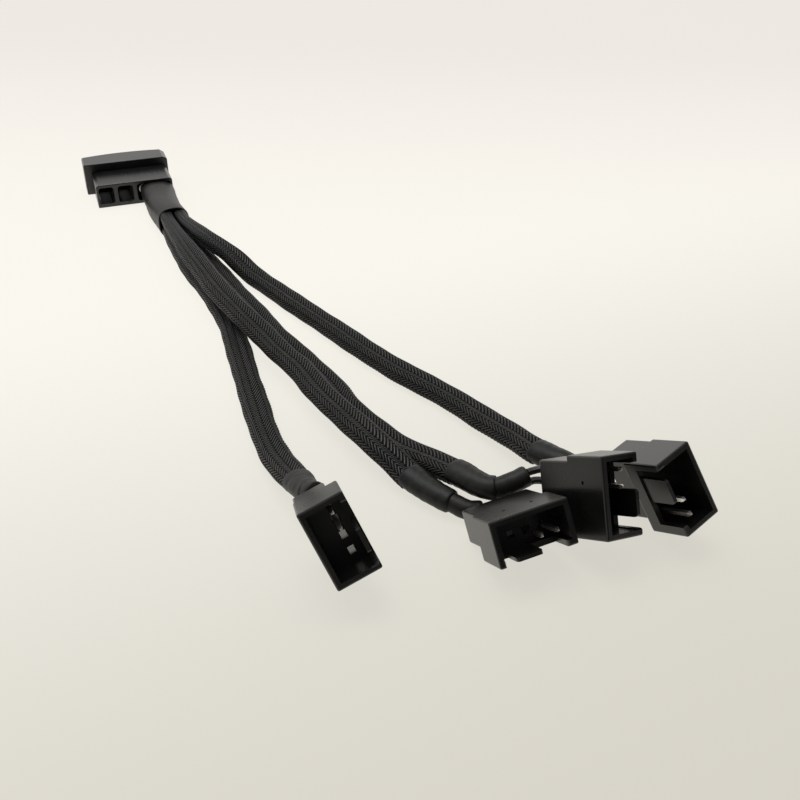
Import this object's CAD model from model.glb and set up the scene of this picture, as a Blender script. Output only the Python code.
"""The looks of a sleeved one-to-four fan splitter lead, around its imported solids.

Places are given in millimetres in the layout that the lead was drawn in, whose origin is the middle of
the power plug's rear face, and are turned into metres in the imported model's frame by `place`.
"""
import logging
import math
from collections.abc import Sequence
from dataclasses import dataclass
from enum import Enum

import bpy
import numpy as np
from mathutils import Matrix, Vector


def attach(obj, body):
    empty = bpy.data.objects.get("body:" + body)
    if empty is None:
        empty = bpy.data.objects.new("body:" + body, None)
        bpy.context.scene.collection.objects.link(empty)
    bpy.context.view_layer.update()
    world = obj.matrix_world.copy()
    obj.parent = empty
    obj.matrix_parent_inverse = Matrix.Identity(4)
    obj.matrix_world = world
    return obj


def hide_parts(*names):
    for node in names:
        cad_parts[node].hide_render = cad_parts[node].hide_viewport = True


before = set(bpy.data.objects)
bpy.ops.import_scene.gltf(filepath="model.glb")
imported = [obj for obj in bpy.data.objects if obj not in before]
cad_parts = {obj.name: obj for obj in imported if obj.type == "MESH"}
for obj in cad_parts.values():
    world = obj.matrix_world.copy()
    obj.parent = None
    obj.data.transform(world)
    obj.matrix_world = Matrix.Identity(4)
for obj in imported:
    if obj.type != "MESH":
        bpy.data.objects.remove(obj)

LOG = logging.getLogger("lead")
MM = 0.001
CENTRE = np.array((25.135, -79.378, 0.0))
ROOT = "root"
NOISE_ROUGHNESS = 0.55
# A Mix node's sockets for colours, which bear the same names as those for numbers
MIX_AMOUNT, MIX_LOW, MIX_HIGH, MIX_RESULT = 0, 6, 7, 2

Pair = tuple[float, float]
Triple = tuple[float, float, float]
Route = Sequence[Triple]
Directions = tuple[np.ndarray, np.ndarray]


def place(points: np.ndarray) -> np.ndarray:
    """Turn layout points into the model's frame.

    Args:
        points: one point or rows of points, in millimetres.

    Returns:
        The same points in metres about the model's origin.
    """
    return (np.asarray(points, dtype=float) - CENTRE) * MM


class Slot(Enum):
    """The record's material slots."""

    HOUSING = "housing"
    SHRINK = "heat_shrink"
    BRAID = "braid"
    WIRE = "wire_skin"
    METAL = "tinned_metal"


class Signal:
    """A shader socket that carries a number, on which Python's operators build Math nodes."""

    def __init__(self, graph: "Graph", socket: bpy.types.NodeSocket) -> None:
        """Wrap a socket of a graph."""
        self.graph = graph
        self.socket = socket

    def math(self, operation: str, *others: "Signal | float") -> "Signal":
        """Add a Math node that takes this signal first.

        Args:
            operation: the node's operation.
            others: its further inputs, signals or numbers.

        Returns:
            The node's result.
        """
        return self.graph.math(operation, self, *others)

    def __add__(self, other: "Signal | float") -> "Signal":
        """Add."""
        return self.math("ADD", other)

    __radd__ = __add__

    def __sub__(self, other: "Signal | float") -> "Signal":
        """Subtract."""
        return self.math("SUBTRACT", other)

    def __rsub__(self, other: float) -> "Signal":
        """Subtract from a number."""
        return self.graph.math("SUBTRACT", other, self)

    def __mul__(self, other: "Signal | float") -> "Signal":
        """Multiply."""
        return self.math("MULTIPLY", other)

    __rmul__ = __mul__

    def __truediv__(self, other: "Signal | float") -> "Signal":
        """Divide."""
        return self.math("DIVIDE", other)

    def __pow__(self, other: float) -> "Signal":
        """Raise to a power."""
        return self.math("POWER", other)

    def ramp(self, low: float, high: float) -> "Signal":
        """Go smoothly from 0 at low to 1 at high.

        Args:
            low: where the ramp starts.
            high: where it ends.

        Returns:
            The smooth step.
        """
        node = self.graph.add(
            "ShaderNodeMapRange",
            {"interpolation_type": "SMOOTHSTEP"},
            {"Value": self, "From Min": low, "From Max": high, "To Min": 0.0, "To Max": 1.0},
        )
        return Signal(self.graph, node.outputs["Result"])


class Graph:
    """The node tree of a material or of the world."""

    def __init__(self, name: str, shelf: object = None, shader: str = "Principled BSDF") -> None:
        """Make a new material, or what else the shelf holds, and find its shader.

        Args:
            name: the new holder's name.
            shelf: Blender's list that it is added to, which is the materials unless given.
            shader: the name of the node that `finish` sets.
        """
        self.holder = (bpy.data.materials if shelf is None else shelf).new(name)
        self.holder.use_nodes = True
        self.tree = self.holder.node_tree
        self.shader = self.tree.nodes[shader]

    def add(self, kind: str, settings: dict | None = None, values: dict | None = None) -> bpy.types.Node:
        """Add a node.

        Args:
            kind: the node's type.
            settings: its own properties, which are set first.
            values: what its sockets get, by name: a number, a colour, a socket or a signal.

        Returns:
            The node.
        """
        node = self.tree.nodes.new(kind)
        for key, value in (settings or {}).items():
            setattr(node, key, value)
        for key, value in (values or {}).items():
            self.feed(node.inputs[key], value)
        return node

    def feed(self, socket: bpy.types.NodeSocket, value: object) -> None:
        """Link or set a socket."""
        if isinstance(value, Signal):
            value = value.socket
        if isinstance(value, bpy.types.NodeSocket):
            self.tree.links.new(value, socket)
        else:
            socket.default_value = value

    def math(self, operation: str, *values: "Signal | float") -> Signal:
        """Add a Math node over signals and numbers."""
        node = self.tree.nodes.new("ShaderNodeMath")
        node.operation = operation
        for socket, value in zip(node.inputs, values):
            self.feed(socket, value)
        return Signal(self, node.outputs[0])

    def position(self, stretch: Triple = (1.0, 1.0, 1.0)) -> bpy.types.NodeSocket:
        """Object coordinates, stretched along each axis."""
        coordinates = self.add("ShaderNodeTexCoord")
        mapping = self.add(
            "ShaderNodeMapping", {}, {"Vector": coordinates.outputs["Object"], "Scale": stretch}
        )
        return mapping.outputs["Vector"]

    def along(self) -> tuple[Signal, Signal]:
        """The piece's own map: the turn round it, and the run along it."""
        node = self.add("ShaderNodeUVMap", {"uv_map": "run"})
        parts = self.add("ShaderNodeSeparateXYZ", {}, {"Vector": node.outputs["UV"]})
        return Signal(self, parts.outputs["X"]), Signal(self, parts.outputs["Y"])

    def noise(self, where: bpy.types.NodeSocket, scale: float, detail: float) -> Signal:
        """A noise pattern from 0 to 1."""
        node = self.add(
            "ShaderNodeTexNoise",
            {"noise_dimensions": "3D"},
            {"Vector": where, "Scale": scale, "Detail": detail, "Roughness": NOISE_ROUGHNESS},
        )
        return Signal(self, node.outputs[0])

    def blend(self, amount: "Signal | float", low: object, high: object) -> bpy.types.NodeSocket:
        """Mix two colours, each a triple or another node's socket, by an amount."""
        node = self.add("ShaderNodeMix", {"data_type": "RGBA"})
        self.feed(node.inputs[MIX_AMOUNT], amount)
        for index, colour in ((MIX_LOW, low), (MIX_HIGH, high)):
            self.feed(node.inputs[index], (*colour, 1.0) if isinstance(colour, tuple) else colour)
        return node.outputs[MIX_RESULT]

    def bump(self, height: Signal, distance: float, strength: float) -> None:
        """Feed the shader's normal from a height in units of distance."""
        node = self.add(
            "ShaderNodeBump", {}, {"Height": height, "Distance": distance, "Strength": strength}
        )
        self.feed(self.shader.inputs["Normal"], node.outputs["Normal"])

    def finish(self, **values: object) -> bpy.types.ID:
        """Set the shader's sockets, with _ for a space, and hand the material or the world over."""
        for key, value in values.items():
            self.feed(self.shader.inputs[key.replace("_", " ")], value)
        return self.holder


# How many bands of the braid a column climbs between its two edges
BRAID_SLOPE = 2.0


@dataclass(frozen=True)
class MouldedPlastic:
    """Glossy black moulded plastic with a faint orange-peel and handling haze.

    Here and in the other materials, a noise is given by its scale and detail, a ramp by its two ends, and
    a bump by its distance and strength.
    """

    name: str = "moulded_plastic"
    colour: Triple = (0.0035, 0.0035, 0.0032)
    haze: Triple = (0.008, 0.008, 0.0075)
    shine: float = 0.56
    roughness: float = 0.25
    mottle: float = 0.06
    rough_ways: float = 0.6
    cloud: Pair = (160.0, 4.0)
    hazy: Pair = (0.35, 0.75)
    grain: Pair = (2600.0, 2.0)
    scuff: Pair = (900.0, 2.0)
    scuff_stretch: Triple = (1.0, 6.0, 1.0)
    scuffed: Pair = (0.62, 0.8)
    grain_share: float = 0.6
    cloud_share: float = 0.8
    bump: Pair = (0.00001, 0.08)
    ways: tuple[Triple, Triple] = ((-9.9, 0.15, 0.7), (9.9, 10.4, 5.6))
    fade: float = 0.0002

    def inside(self, graph: Graph, where: bpy.types.NodeSocket) -> Signal:
        """Where a point is inside the box round the power plug's ways, whose walls are left rough."""
        parts = graph.add("ShaderNodeSeparateXYZ", {}, {"Vector": where})
        mask = None
        for axis, low, high in zip("XYZ", place(self.ways[0]), place(self.ways[1])):
            along = Signal(graph, parts.outputs[axis])
            band = along.ramp(low, low + self.fade) * (1.0 - along.ramp(high - self.fade, high))
            mask = band if mask is None else mask * band
        return mask

    def material(self) -> bpy.types.Material:
        """Build the material."""
        graph = Graph(self.name)
        where = graph.position()
        cloud = graph.noise(where, *self.cloud)
        grain = graph.noise(where, *self.grain)
        scuff = graph.noise(graph.position(self.scuff_stretch), *self.scuff).ramp(*self.scuffed)
        graph.bump(grain * self.grain_share + cloud * self.cloud_share, *self.bump)
        uneven = cloud * self.mottle + scuff * self.mottle
        return graph.finish(
            Base_Color=graph.blend(cloud.ramp(*self.hazy), self.colour, self.haze),
            Roughness=uneven + self.inside(graph, where) * self.rough_ways + self.roughness,
            Specular_IOR_Level=self.shine,
        )


@dataclass(frozen=True)
class ShrinkSkin:
    """Matte heat-shrink, unevenly rubbed."""

    name: str = "heat_shrink_skin"
    colour: Triple = (0.005, 0.005, 0.0046)
    rubbed: Triple = (0.013, 0.0127, 0.0117)
    shine: float = 0.26
    roughness: float = 0.37
    mottle: float = 0.14
    cloud: Pair = (240.0, 4.0)
    worn: Pair = (0.3, 0.75)
    grain: Pair = (3200.0, 3.0)
    grain_share: float = 0.7
    bump: Pair = (0.00003, 0.6)

    def material(self) -> bpy.types.Material:
        """Build the material."""
        graph = Graph(self.name)
        where = graph.position()
        cloud = graph.noise(where, *self.cloud)
        graph.bump(graph.noise(where, *self.grain) * self.grain_share + cloud, *self.bump)
        return graph.finish(
            Base_Color=graph.blend(cloud.ramp(*self.worn), self.colour, self.rubbed),
            Roughness=cloud * self.mottle + self.roughness,
            Specular_IOR_Level=self.shine,
        )


@dataclass(frozen=True)
class BraidWeave:
    """Black monofilament braid: slanting bands in chevron columns, dark between the bands."""

    name: str = "braid_weave"
    slope: float = BRAID_SLOPE
    filaments: float = 3.0
    colour: Triple = (0.006, 0.006, 0.0058)
    pale: Triple = (0.039, 0.038, 0.036)
    tight: Triple = (0.009, 0.009, 0.0085)
    gap: Triple = (0.0008, 0.0008, 0.0008)
    shine: float = 0.3
    roughness: float = 0.28
    mottle: float = 0.10
    rough_holes: float = 0.6
    cloud: Pair = (420.0, 3.0)
    cloudy: Pair = (0.3, 0.75)
    seam: Pair = (0.34, 0.50)
    seam_share: float = 0.22
    opening: Pair = (8.0, 48.0)
    hole: Pair = (0.20, 0.36)
    neck_hole: float = 0.5
    crown_share: float = 0.55
    cloud_share: float = 0.45
    thread_share: float = 0.12
    bump: Pair = (0.00008, 0.8)

    def material(self) -> bpy.types.Material:
        """Build the material.

        The turn counts columns and the run counts bands. The chevron is the run plus the slope times a
        triangle wave over the turn. A band's middle is where the chevron's fraction is a half, its crown
        falls off with the square of the distance from there, and it narrows where two columns meet. The
        bands draw apart beyond the neck.
        """
        graph = Graph(self.name)
        turn, run = graph.along()
        triangle = (turn / 2.0).math("FRACT").math("MULTIPLY_ADD", 2.0, -1.0).math("ABSOLUTE")
        chevron = run + triangle * self.slope
        aside = (chevron.math("FRACT") - 0.5).math("ABSOLUTE")
        seam = (triangle - 0.5).math("ABSOLUTE").ramp(*self.seam)
        crown = 1.0 - (aside * 2.0) ** 2.0
        opened = run.ramp(*self.opening)
        depth = opened * (1.0 - self.neck_hole) + self.neck_hole
        hole = (aside + seam * self.seam_share).ramp(*self.hole) * depth
        thread = (chevron * (math.tau * self.filaments)).math("COSINE") * self.thread_share
        cloud = graph.noise(graph.position(), *self.cloud)
        light = crown * self.crown_share + cloud.ramp(*self.cloudy) * self.cloud_share + thread
        body = graph.blend(light, self.colour, self.pale)
        graph.bump(crown + thread - hole, *self.bump)
        return graph.finish(
            Base_Color=graph.blend(hole, graph.blend(opened, self.tight, body), self.gap),
            Roughness=hole * self.rough_holes + cloud * self.mottle + self.roughness,
            Specular_IOR_Level=self.shine,
        )


@dataclass(frozen=True)
class WireSkin:
    """Smooth black wire insulation."""

    name: str = "wire_insulation"
    colour: Triple = (0.014, 0.014, 0.014)
    roughness: float = 0.33
    mottle: float = 0.15
    cloud: Pair = (300.0, 3.0)
    bump: Pair = (0.00002, 0.4)

    def material(self) -> bpy.types.Material:
        """Build the material."""
        graph = Graph(self.name)
        cloud = graph.noise(graph.position(), *self.cloud)
        graph.bump(cloud, *self.bump)
        return graph.finish(Base_Color=(*self.colour, 1.0), Roughness=cloud * self.mottle + self.roughness)


@dataclass(frozen=True)
class TinnedMetal:
    """Bright tin plate with fine draw marks."""

    name: str = "tin_plate"
    bright: Triple = (0.86, 0.84, 0.80)
    dull: Triple = (0.58, 0.56, 0.52)
    roughness: float = 0.28
    mottle: float = 0.15
    cloud: Pair = (700.0, 3.0)
    tarnished: Pair = (0.3, 0.7)
    draw: Pair = (5000.0, 2.0)
    draw_stretch: Triple = (1.0, 0.1, 1.0)
    bump: Pair = (0.00001, 0.5)

    def material(self) -> bpy.types.Material:
        """Build the material."""
        graph = Graph(self.name)
        cloud = graph.noise(graph.position(), *self.cloud)
        graph.bump(graph.noise(graph.position(self.draw_stretch), *self.draw), *self.bump)
        return graph.finish(
            Base_Color=graph.blend(cloud.ramp(*self.tarnished), self.bright, self.dull),
            Roughness=cloud * self.mottle + self.roughness,
            Metallic=1.0,
        )


@dataclass(frozen=True)
class Tabletop:
    """Pale table lit through from below, so that it takes only faint shadows; it dims towards the eye."""

    name: str = "pale_tabletop"
    colour: Triple = (0.115, 0.110, 0.100)
    roughness: float = 0.60
    near: Triple = (0.58, 0.56, 0.50)
    middle: Triple = (0.855, 0.835, 0.775)
    far: Triple = (0.76, 0.715, 0.68)
    slant: float = 0.1
    rising: Pair = (-0.15, 0.03)
    fall: float = 0.5
    falling: Pair = (0.02, 0.30)

    def material(self) -> bpy.types.Material:
        """Build the material: its own light goes from near to middle to far across two slanting lines."""
        graph = Graph(self.name)
        where = graph.add("ShaderNodeSeparateXYZ", {}, {"Vector": graph.position()})
        right, away = (Signal(graph, where.outputs[axis]) for axis in "XY")
        risen = graph.blend((away - right * self.slant).ramp(*self.rising), self.near, self.middle)
        fallen = (away + right * self.fall).ramp(*self.falling)
        return graph.finish(
            Base_Color=(*self.colour, 1.0),
            Roughness=self.roughness,
            Specular_IOR_Level=0.0,
            Emission_Color=graph.blend(fallen, risen, self.far),
            Emission_Strength=1.0,
        )


class Finishes:
    """Every material, made once."""

    def __init__(self) -> None:
        """Build the materials."""
        self.by_slot = {
            Slot.HOUSING: MouldedPlastic().material(),
            Slot.SHRINK: ShrinkSkin().material(),
            Slot.BRAID: BraidWeave().material(),
            Slot.WIRE: WireSkin().material(),
            Slot.METAL: TinnedMetal().material(),
        }

    def dress(self, piece: bpy.types.Object, slot: Slot) -> None:
        """Give a piece its only material."""
        piece.data.materials.clear()
        piece.data.materials.append(self.by_slot[slot])

    def dress_node(self, name: str, slot: Slot) -> None:
        """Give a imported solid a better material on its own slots."""
        node = bpy.data.objects[name]
        for holder in node.material_slots:
            holder.material = self.by_slot[slot]
        LOG.info("solid %s dressed as %s", name, slot.value)


def surface(name: str, points: np.ndarray, turns: np.ndarray, runs: np.ndarray) -> bpy.types.Object:
    """Make a mesh out of rings of points, with both ends capped by a fan to the end ring's middle.

    Args:
        name: the piece's name.
        points: rings by columns by three, in metres; each ring is closed.
        turns: the map's first coordinate at each column, with one more for the seam.
        runs: the map's second coordinate at each ring.

    Returns:
        The object, smooth shaded, its faces pointing out when the rings turn anticlockwise seen
        against the run.
    """
    rows, columns, _ = points.shape
    row = np.arange(rows - 1)[:, None]
    column = np.arange(columns)[None, :]
    after = (column + 1) % columns
    here, there = row * columns, (row + 1) * columns
    quads = np.stack([here + column, here + after, there + after, there + column], axis=-1)
    spread = quads.shape[:2]
    turns_at = np.stack([np.broadcast_to(turns[column + step], spread) for step in (0, 1, 1, 0)], axis=-1)
    runs_at = np.stack([np.broadcast_to(runs[row + step], spread) for step in (0, 0, 1, 1)], axis=-1)

    ring = np.arange(columns)
    beyond = (ring + 1) % columns
    middle = rows * columns
    last = (rows - 1) * columns
    near = np.stack([np.full(columns, middle), beyond, ring], axis=-1)
    far = np.stack([np.full(columns, middle + 1), last + ring, last + beyond], axis=-1)
    caps = np.vstack([near, far]).reshape(-1)

    vertices = np.vstack([points.reshape(-1, 3), points[0].mean(axis=0), points[-1].mean(axis=0)])
    loops = np.concatenate([quads.reshape(-1), caps])
    sizes = np.concatenate([np.full(quads[..., 0].size, 4), np.full(2 * columns, 3)])
    turns_at = np.concatenate([turns_at.reshape(-1), np.zeros(len(caps))])
    runs_at = np.concatenate([runs_at.reshape(-1), np.repeat([runs[0], runs[-1]], 3 * columns)])

    mesh = bpy.data.meshes.new(name)
    mesh.vertices.add(len(vertices))
    mesh.vertices.foreach_set("co", vertices.reshape(-1))
    mesh.loops.add(len(loops))
    mesh.loops.foreach_set("vertex_index", loops)
    mesh.polygons.add(len(sizes))
    mesh.polygons.foreach_set("loop_start", np.concatenate([[0], np.cumsum(sizes)[:-1]]))
    mesh.update(calc_edges=True)
    layer = mesh.uv_layers.new(name="run")
    layer.data.foreach_set("uv", np.stack([turns_at, runs_at], axis=-1).reshape(-1))
    mesh.polygons.foreach_set("use_smooth", np.ones(len(sizes), dtype=bool))
    mesh.validate()
    piece = bpy.data.objects.new(name, mesh)
    bpy.context.scene.collection.objects.link(piece)
    return piece


def route_reach(route: Route | np.ndarray) -> np.ndarray:
    """How far each point of a route is along its straight spans."""
    steps = np.linalg.norm(np.diff(np.asarray(route, dtype=float), axis=0), axis=1)
    return np.concatenate(([0.0], np.cumsum(steps)))


def smooth_at(route: Route, at: np.ndarray) -> np.ndarray:
    """Points on a smooth curve through a route.

    Each span is a cubic that leaves and meets its ends along the slope of the neighbouring points.

    Args:
        route: the route's points.
        at: distances counted along the route's straight spans.

    Returns:
        One point for each distance.
    """
    reach = route_reach(route)
    knots = np.array(route, dtype=float)
    slopes = np.gradient(knots, reach, axis=0)
    span = np.clip(np.searchsorted(reach, at, side="right") - 1, 0, len(reach) - 2)
    size = (reach[span + 1] - reach[span])[:, None]
    t = (at - reach[span])[:, None] / size
    return (
        (2 * t**3 - 3 * t**2 + 1) * knots[span]
        + (t**3 - 2 * t**2 + t) * size * slopes[span]
        + (3 * t**2 - 2 * t**3) * knots[span + 1]
        + (t**3 - t**2) * size * slopes[span + 1]
    )


def frames(route: Route, at: np.ndarray, reach: float = 0.05) -> Directions:
    """Sideways and upward directions along a route, level with the table.

    Args:
        route: the route's points.
        at: distances counted along the route's straight spans.
        reach: how far to both sides the route's direction is taken.

    Returns:
        For each distance, the level direction to the right, and the one square to that and to the route.
    """
    forward = smooth_at(route, at + reach) - smooth_at(route, at - reach)
    forward /= np.linalg.norm(forward, axis=1)[:, None]
    across = np.cross(forward, (0.0, 0.0, 1.0))
    across /= np.linalg.norm(across, axis=1)[:, None]
    return across, np.cross(across, forward)


def smooth_step(low: float, high: float, at: np.ndarray) -> np.ndarray:
    """Go smoothly from 0 at low to 1 at high."""
    t = np.clip((at - low) / (high - low), 0.0, 1.0)
    return t * t * (3 - 2 * t)


def squared_off(wave: np.ndarray, power: float) -> np.ndarray:
    """Fill out a sine or cosine: its size raised to a power below one, with its own sign."""
    return np.sign(wave) * np.abs(wave) ** power


def rings(
    path: np.ndarray, directions: Directions, side: np.ndarray, lift: np.ndarray, floor: float
) -> np.ndarray:
    """Rings of points round a path, none of them below a height.

    Args:
        path: the rings' middles.
        directions: at each ring, the level direction to the right and the upward one.
        side: how far each point of each ring lies to the right.
        lift: how far it lies upwards.
        floor: the least height.

    Returns:
        Rings by columns by three.
    """
    across, rise = directions
    points = path[:, None, :] + across[:, None, :] * side[..., None] + rise[:, None, :] * lift[..., None]
    points[..., 2] = np.maximum(points[..., 2], floor)
    return points


# The trunk's axis and the four branches' routes, as the solids have them
TRUNK_AXIS = ((5.1, 0.0, 3.0), (4.9, -9.0, 3.3), (4.8, -18.0, 3.7), (5.6, -27.6, 3.97))
TRUNK_MOUTH_DEPTH = 2.2
STRAIGHT_START = 1.5 * TRUNK_MOUTH_DEPTH
SEAT_GAP = 0.3
NECK_SPACING = 3.4
SOLID_SLEEVE_RADIUS = 2.1


@dataclass(frozen=True)
class Branch:
    """One branch's centre line in the layout: its corner of the trunk, sleeve, cuff and boot."""

    letter: str
    side: int
    layer: int
    sleeve: Route
    cuff_end: Triple
    boot: Route
    boot_half: float

    def sleeve_route(self) -> Route:
        """The route from inside the trunk's mouth to the sleeve's end."""
        x, y, z = TRUNK_AXIS[-1]
        x += self.side * NECK_SPACING / 2
        y += TRUNK_MOUTH_DEPTH - SEAT_GAP
        z += self.layer * NECK_SPACING / 2
        return [(x, y, z), (x, y - STRAIGHT_START, z), *self.sleeve]

    def route(self) -> Route:
        """The whole route, through the cuff and the boot."""
        return [*self.sleeve_route(), self.cuff_end, *self.boot]

    def sleeve_length(self) -> float:
        """Where the sleeve ends along the route."""
        return float(route_reach(self.sleeve_route())[-1])

    def cuff_length(self) -> float:
        """Where the cuff ends along the route."""
        return float(route_reach([*self.sleeve_route(), self.cuff_end])[-1])

    def whole_length(self) -> float:
        """Where the boot ends along the route."""
        return float(route_reach(self.route())[-1])


BRANCHES = (
    Branch(
        "a", -1, -1,
        (
            (5.0, -48.0, 2.2), (7.4, -66.0, 2.2), (8.4, -80.7, 2.2), (7.8, -93.5, 2.2),
            (7.0, -104.8, 2.2), (6.3, -116.6, 2.2), (5.8, -125.1, 2.4), (5.8, -134.1, 3.0),
            (6.9, -144.8, 5.0),
        ),
        (7.5, -150.8, 6.6),
        ((8.0, -152.2, 7.2),),
        1.95,
    ),
    Branch(
        "b", -1, 1,
        (
            (5.0, -48.8, 6.6), (6.3, -61.4, 6.8), (8.2, -77.2, 6.8), (10.4, -87.6, 6.3),
            (12.6, -95.0, 5.4), (14.5, -103.2, 4.9), (16.3, -110.3, 4.9), (17.6, -120.1, 4.9),
            (19.7, -129.7, 4.9), (21.6, -136.7, 4.7), (23.5, -142.5, 3.8), (25.1, -146.8, 2.8),
        ),
        (29.0, -155.0, 2.15),
        ((31.0, -157.4, 1.8), (33.0, -158.0, 1.65)),
        1.6,
    ),
    Branch(
        "c", 1, -1,
        (
            (9.8, -48.3, 2.2), (12.6, -68.6, 2.2), (14.7, -81.3, 2.2), (16.3, -91.9, 2.2),
            (18.2, -100.2, 2.2), (19.9, -107.8, 2.2), (21.2, -114.0, 2.2), (22.1, -123.0, 2.2),
            (24.1, -130.4, 2.2), (26.5, -138.3, 2.4), (29.4, -144.7, 3.4), (31.6, -150.3, 4.4),
        ),
        (35.8, -157.4, 5.0),
        ((38.2, -158.0, 5.9), (40.4, -157.9, 6.5)),
        1.7,
    ),
    Branch(
        "d", 1, 1,
        (
            (9.5, -41.7, 6.4), (11.4, -48.0, 6.4), (14.6, -53.5, 5.0), (18.0, -61.2, 2.6),
            (21.3, -70.9, 2.2), (24.5, -81.2, 2.2), (28.2, -92.6, 2.2), (32.2, -105.3, 2.2),
            (34.8, -112.5, 2.2), (38.1, -119.9, 2.2), (41.0, -127.2, 2.3), (43.5, -135.5, 2.6),
            (45.3, -142.1, 3.2), (46.7, -149.5, 4.2),
        ),
        (50.0, -156.2, 4.4),
        ((51.5, -158.2, 3.9), (52.7, -159.5, 3.1)),
        1.6,
    ),
)


@dataclass
class Sleeve:
    """A braided sleeve that lies as a flat oval over its two wires."""

    branch: Branch
    half_width: float = 2.5
    half_height: float = 1.75
    neck_radius: float = 1.6
    neck_run: float = 36.0
    flatness: Pair = (0.9, 0.85)
    valley: float = 0.30
    valley_width: float = 0.34
    neck_valley: float = 0.5
    slow_ripple: Pair = (0.03, 0.31)
    quick_ripple: Pair = (0.02, 0.83)
    pitch: float = 0.90
    drift: Pair = (0.10, 0.47)
    columns: int = 12
    slope: float = BRAID_SLOPE
    relief: float = 0.20
    crown: float = 0.30
    seam_depth: float = 0.3
    seam_width: float = 0.10
    neck_relief: float = 0.4
    step: float = 0.17
    around: int = 120
    tuck: float = 0.6
    floor: float = 0.06
    centre: np.ndarray | None = None
    length: float = 0.0

    def build(self, finishes: Finishes) -> bpy.types.Object:
        """Make the sleeve and dress it.

        A ring is a filled-out ellipse whose top and bottom dip over the gap between the wires. Its width
        ripples, and the bands drift, by a depth at a rate along the run. The braid stands out at each
        band's middle, counted along the chevron, falls off with the square of the distance from there,
        and sinks where two columns of bands meet. Relief and dip are shallower in the neck.

        Args:
            finishes: the materials.

        Returns:
            The sleeve, whose centre line and length are then known.
        """
        at = np.arange(0.0, self.branch.sleeve_length() + self.tuck, self.step)
        route = self.branch.route()
        path = smooth_at(route, at)
        run = route_reach(path)
        grown = smooth_step(TRUNK_MOUTH_DEPTH, self.neck_run, run)
        (slow_depth, slow), (quick_depth, quick) = self.slow_ripple, self.quick_ripple
        shift = self.branch.sleeve[0][0]
        ripple = 1 + slow_depth * np.sin(run * slow + shift) + quick_depth * np.sin(run * quick)
        width = (self.neck_radius + (self.half_width - self.neck_radius) * grown) * ripple
        height = self.neck_radius + (self.half_height - self.neck_radius) * grown
        path[:, 2] -= (SOLID_SLEEVE_RADIUS - self.half_height) * grown
        turn = np.arange(self.around) / self.around
        angle = math.tau * turn
        flat = squared_off(np.cos(angle), self.flatness[0])
        tall = squared_off(np.sin(angle), self.flatness[1])
        depth = self.valley * (self.neck_valley + (1 - self.neck_valley) * grown[:, None])
        dip = 1 - depth * np.exp(-((flat / self.valley_width) ** 2))
        triangle = np.abs(2 * (turn * self.columns / 2 % 1) - 1)
        bands = run / self.pitch + self.drift[0] * np.sin(run * self.drift[1])
        aside = np.abs((bands[:, None] + self.slope * triangle) % 1 - 0.5)
        seam = np.exp(-(((np.abs(triangle - 0.5) - 0.5) / self.seam_width) ** 2))
        proud = self.relief * (self.crown - (2 * aside) ** 2 - self.seam_depth * seam)
        proud *= self.neck_relief + (1 - self.neck_relief) * grown[:, None]
        side = width[:, None] * flat + proud * np.cos(angle)
        lift = height[:, None] * tall * dip + proud * np.sin(angle)
        points = rings(path, frames(route, at), side, lift, self.floor)
        piece = surface(
            f"braid_{self.branch.letter}",
            place(points)[:, ::-1],
            (np.arange(self.around + 1)[::-1] - 1) * self.columns / self.around,
            bands,
        )
        finishes.dress(piece, Slot.BRAID)
        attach(piece, ROOT)
        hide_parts(f"sleeve_{self.branch.letter}")
        self.centre = place(path)
        self.length = float(run[-1]) * MM
        LOG.info("sleeve %s: %.1f mm", self.branch.letter, run[-1])
        return piece


@dataclass
class Shrink:
    """Round or oval heat-shrink along part of a branch.

    A wrinkle is a depth, the rate and shift of its sine along the run, and those of its sine round it.
    """

    branch: Branch
    name: str
    replaces: str
    start: float
    end: float
    start_size: Pair
    end_size: Pair
    drop: float = 0.0
    lip: float = 0.12
    lip_power: float = 0.8
    lip_size: float = 0.90
    wrinkles: tuple[tuple[float, ...], ...] = ((0.012, 2.1, 0.0, 2.0, 0.6), (0.008, 4.3, 1.0, 3.0, 0.0))
    around: int = 48
    step: float = 0.2
    floor: float = 0.05

    def build(self, finishes: Finishes) -> bpy.types.Object:
        """Make the shrink: an ellipse that eases from one size to the other, with rounded lips."""
        at = np.arange(self.start, self.end, self.step)
        route = self.branch.route()
        path = smooth_at(route, at)
        run = route_reach(path)
        ease = smooth_step(0.0, run[-1], run)
        near, far = (1 - np.exp(-((gone / self.lip) ** self.lip_power)) for gone in (run, run[-1] - run))
        round_off = self.lip_size + (1 - self.lip_size) * near * far
        width, height = (
            (start + (end - start) * ease) * round_off
            for start, end in zip(self.start_size, self.end_size)
        )
        path[:, 2] -= self.drop * (1 - ease)
        angle = math.tau * np.arange(self.around) / self.around
        skin = 1 + sum(
            depth * np.sin(run * rate + shift)[:, None] * np.sin(angle * waves + twist)
            for depth, rate, shift, waves, twist in self.wrinkles
        )
        side = width[:, None] * np.cos(angle) * skin
        lift = height[:, None] * np.sin(angle) * skin
        points = rings(path, frames(route, at), side, lift, self.floor)
        piece = surface(
            self.name, place(points)[:, ::-1], np.arange(self.around + 1) / self.around, run
        )
        finishes.dress(piece, Slot.SHRINK)
        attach(piece, ROOT)
        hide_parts(self.replaces)
        LOG.info("%s: %.1f mm", self.name, run[-1])
        return piece


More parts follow.
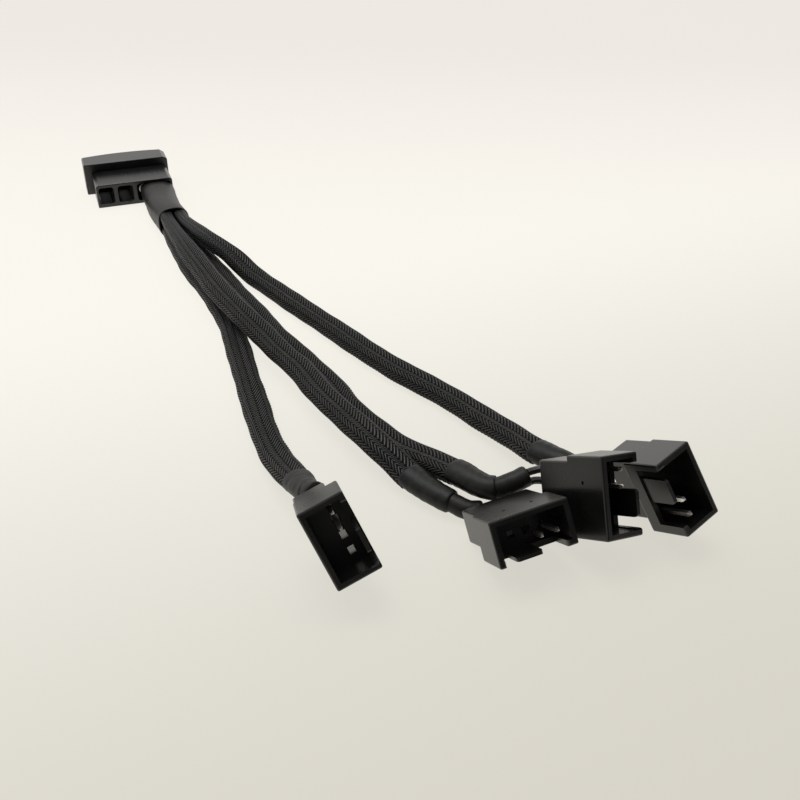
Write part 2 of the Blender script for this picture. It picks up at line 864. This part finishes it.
@dataclass
class Trunk:
    """The heat-shrink over the trunk: a flat oval at the plug, square-round and open at its mouth."""

    start_gap: float = 0.4
    start_half: Pair = (4.4, 2.5)
    end_half: float = 3.85
    wall: float = 0.45
    mouth_rings: int = 10
    lip_reach: Triple = (0.1, 0.14, 0.1)
    lip_share: Triple = (0.15, 0.5, 0.85)
    power: float = 2.7
    slow_sag: Pair = (0.012, 0.5)
    quick_sag: Pair = (0.003, 1.7)
    around: int = 72
    step: float = 0.25
    floor: float = 0.04

    def build(self, finishes: Finishes) -> bpy.types.Object:
        """Make the skin: out along the outside, round the mouth's lip and back down its inside.

        Each ring is a superellipse, drawn in by the wall on the way back. Its width sags by a depth at a
        rate along the run.
        """
        length = route_reach(TRUNK_AXIS)[-1]
        out = np.arange(self.start_gap, length, self.step)
        back = length - np.linspace(0.0, TRUNK_MOUTH_DEPTH, self.mouth_rings)
        at = np.concatenate([out, length + np.array([0.0, *self.lip_reach]), back])
        drawn_in = self.wall * np.concatenate([np.zeros(len(out) + 1), self.lip_share, np.ones(len(back))])
        ease = smooth_step(0.0, length, at)
        (slow_depth, slow), (quick_depth, quick) = self.slow_sag, self.quick_sag
        sag = 1 + slow_depth * np.sin(at * slow) + quick_depth * np.sin(at * quick)
        half_width, half_height = (start + (self.end_half - start) * ease for start in self.start_half)
        angle = math.tau * (np.arange(self.around) + 0.5) / self.around
        side = (half_width * sag - drawn_in)[:, None] * squared_off(np.cos(angle), 2 / self.power)
        lift = (half_height - drawn_in)[:, None] * squared_off(np.sin(angle), 2 / self.power)
        path = smooth_at(TRUNK_AXIS, at)
        points = rings(path, frames(TRUNK_AXIS, at), side, lift, self.floor)
        turns = np.arange(self.around + 1) / self.around
        piece = surface("trunk_shrink_skin", place(points)[:, ::-1], turns, route_reach(path))
        finishes.dress(piece, Slot.SHRINK)
        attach(piece, ROOT)
        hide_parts("trunk_heat_shrink")
        LOG.info("trunk: %.1f mm", length)
        return piece


@dataclass
class Lead:
    """One branch from the trunk to its fan socket."""

    branch: Branch
    cuff_start: Pair = (2.55, 1.95)
    cuff_end: Pair = (2.05, 1.9)
    overlap: float = 0.5

    def build(self, finishes: Finishes) -> None:
        """Make the sleeve, its cuff and its boot, and dress the socket, pins and wires."""
        letter = self.branch.letter
        sleeve = Sleeve(self.branch)
        braid = sleeve.build(finishes)
        sleeve_end = self.branch.sleeve_length()
        cuff_end = self.branch.cuff_length()
        cuff = Shrink(
            self.branch,
            f"cuff_skin_{letter}",
            f"cuff_{letter}",
            sleeve_end - self.overlap,
            cuff_end,
            self.cuff_start,
            self.cuff_end,
            drop=SOLID_SLEEVE_RADIUS - self.cuff_start[1],
        ).build(finishes)
        boot = Shrink(
            self.branch,
            f"boot_skin_{letter}",
            f"boot_{letter}",
            cuff_end - self.overlap,
            self.branch.whole_length(),
            (self.branch.boot_half, self.branch.boot_half),
            (self.branch.boot_half, self.branch.boot_half),
        ).build(finishes)
        solids = {f"fan_socket_{letter}": Slot.HOUSING}
        for number in (1, 2):
            solids[f"fan_pin_{letter}{number}"] = Slot.METAL
            solids[f"fan_wire_{letter}{number}"] = Slot.WIRE
        for name, slot in solids.items():
            finishes.dress_node(name, slot)
        2 * sleeve.half_width * MM


@dataclass
class PowerEnd:
    """The power plug, its pins and wires, and the trunk."""

    wired: tuple[int, ...] = (1, 2)

    def build(self, finishes: Finishes) -> None:
        """Dress the solids and make the trunk."""
        finishes.dress_node("power_plug_housing", Slot.HOUSING)
        for number in self.wired:
            finishes.dress_node(f"power_pin_{number}", Slot.METAL)
            finishes.dress_node(f"power_wire_{number}", Slot.WIRE)
        Trunk().build(finishes)


@dataclass(frozen=True)
class Studio:
    """The camera at the photograph's angle, the table and the soft lights."""

    eye: Triple = (-20.64, -271.67, 100.15)
    target: Triple = (32.68, -120.29, 0.0)
    focal: float = 45.48
    sensor: float = 36.0
    nearest: float = 0.01
    lean: float = -0.37
    table_reach: float = 3.0
    world: float = 0.64
    dark: float = 0.07
    tint: Triple = (1.0, 0.985, 0.965)
    bright_side: Triple = (-0.25, 0.75, 0.55)
    fade: Pair = (-0.35, 0.45)
    backlight: float = 0.5
    behind: Pair = (0.2, 0.9)
    above: Pair = (0.12, 0.45)
    lamp_spot: Triple = (-0.15, 0.25, 1.0)
    lamp_aim: Triple = (0.0, -0.02, 0.0)
    lamp_size: float = 0.7
    lamp_power: float = 5.0

    def camera(self) -> None:
        """Aim the camera, leaning by the photograph's small roll."""
        data = bpy.data.cameras.new("camera")
        data.lens = self.focal
        data.sensor_width = self.sensor
        data.clip_start = self.nearest
        camera = bpy.data.objects.new("camera", data)
        eye = Vector(place(self.eye))
        forward = (Vector(place(self.target)) - eye).normalized()
        right = forward.cross(Vector((0, 0, 1))).normalized()
        up = right.cross(forward)
        lean = math.radians(self.lean)
        tilted = right * math.cos(lean) + up * math.sin(lean)
        raised = up * math.cos(lean) - right * math.sin(lean)
        turn = Matrix((tilted, raised, -forward)).transposed()
        camera.matrix_world = Matrix.Translation(eye) @ turn.to_4x4()
        bpy.context.scene.collection.objects.link(camera)
        bpy.context.scene.camera = camera

    def table(self) -> None:
        """Lay the tabletop."""
        r = self.table_reach
        mesh = bpy.data.meshes.new("tabletop")
        mesh.from_pydata([(-r, -r, 0), (r, -r, 0), (r, r, 0), (-r, r, 0)], [], [(0, 1, 2, 3)])
        mesh.materials.append(Tabletop().material())
        table = bpy.data.objects.new("tabletop", mesh)
        bpy.context.scene.collection.objects.link(table)

    def lamp(self) -> None:
        """Hang a soft square lamp over the lead."""
        data = bpy.data.lights.new("overhead", "AREA")
        data.size = self.lamp_size
        data.energy = self.lamp_power
        lamp = bpy.data.objects.new("overhead", data)
        lamp.location = self.lamp_spot
        lamp.rotation_mode = "QUATERNION"
        lamp.rotation_quaternion = (Vector(self.lamp_aim) - Vector(self.lamp_spot)).to_track_quat("-Z", "Y")
        bpy.context.scene.collection.objects.link(lamp)

    def light(self) -> None:
        """Light the world, dark behind the camera and brightest low down at the far side."""
        graph = Graph("studio", bpy.data.worlds, "Background")
        facing = graph.add("ShaderNodeTexCoord").outputs["Generated"]
        parts = graph.add("ShaderNodeSeparateXYZ", {}, {"Vector": facing})
        right, away, up = (Signal(graph, parts.outputs[axis]) for axis in "XYZ")
        lean = right * self.bright_side[0] + away * self.bright_side[1] + up * self.bright_side[2]
        fill = lean.ramp(*self.fade) * (self.world - self.dark) + self.dark
        backlight = away.ramp(*self.behind) * (1.0 - up.ramp(*self.above)) * self.backlight
        bpy.context.scene.world = graph.finish(Color=(*self.tint, 1.0), Strength=fill + backlight)
        bpy.context.scene.view_settings.view_transform = "Standard"

    def build(self) -> None:
        """Set the whole studio up."""
        self.camera()
        self.table()
        self.light()
        self.lamp()


def main() -> None:
    """Build the studio and the lead."""
    logging.basicConfig(level=logging.INFO, format="%(name)s: %(message)s")
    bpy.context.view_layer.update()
    finishes = Finishes()
    Studio().build()
    PowerEnd().build(finishes)
    for branch in BRANCHES:
        Lead(branch).build(finishes)


if __name__ == "__main__":
    main()
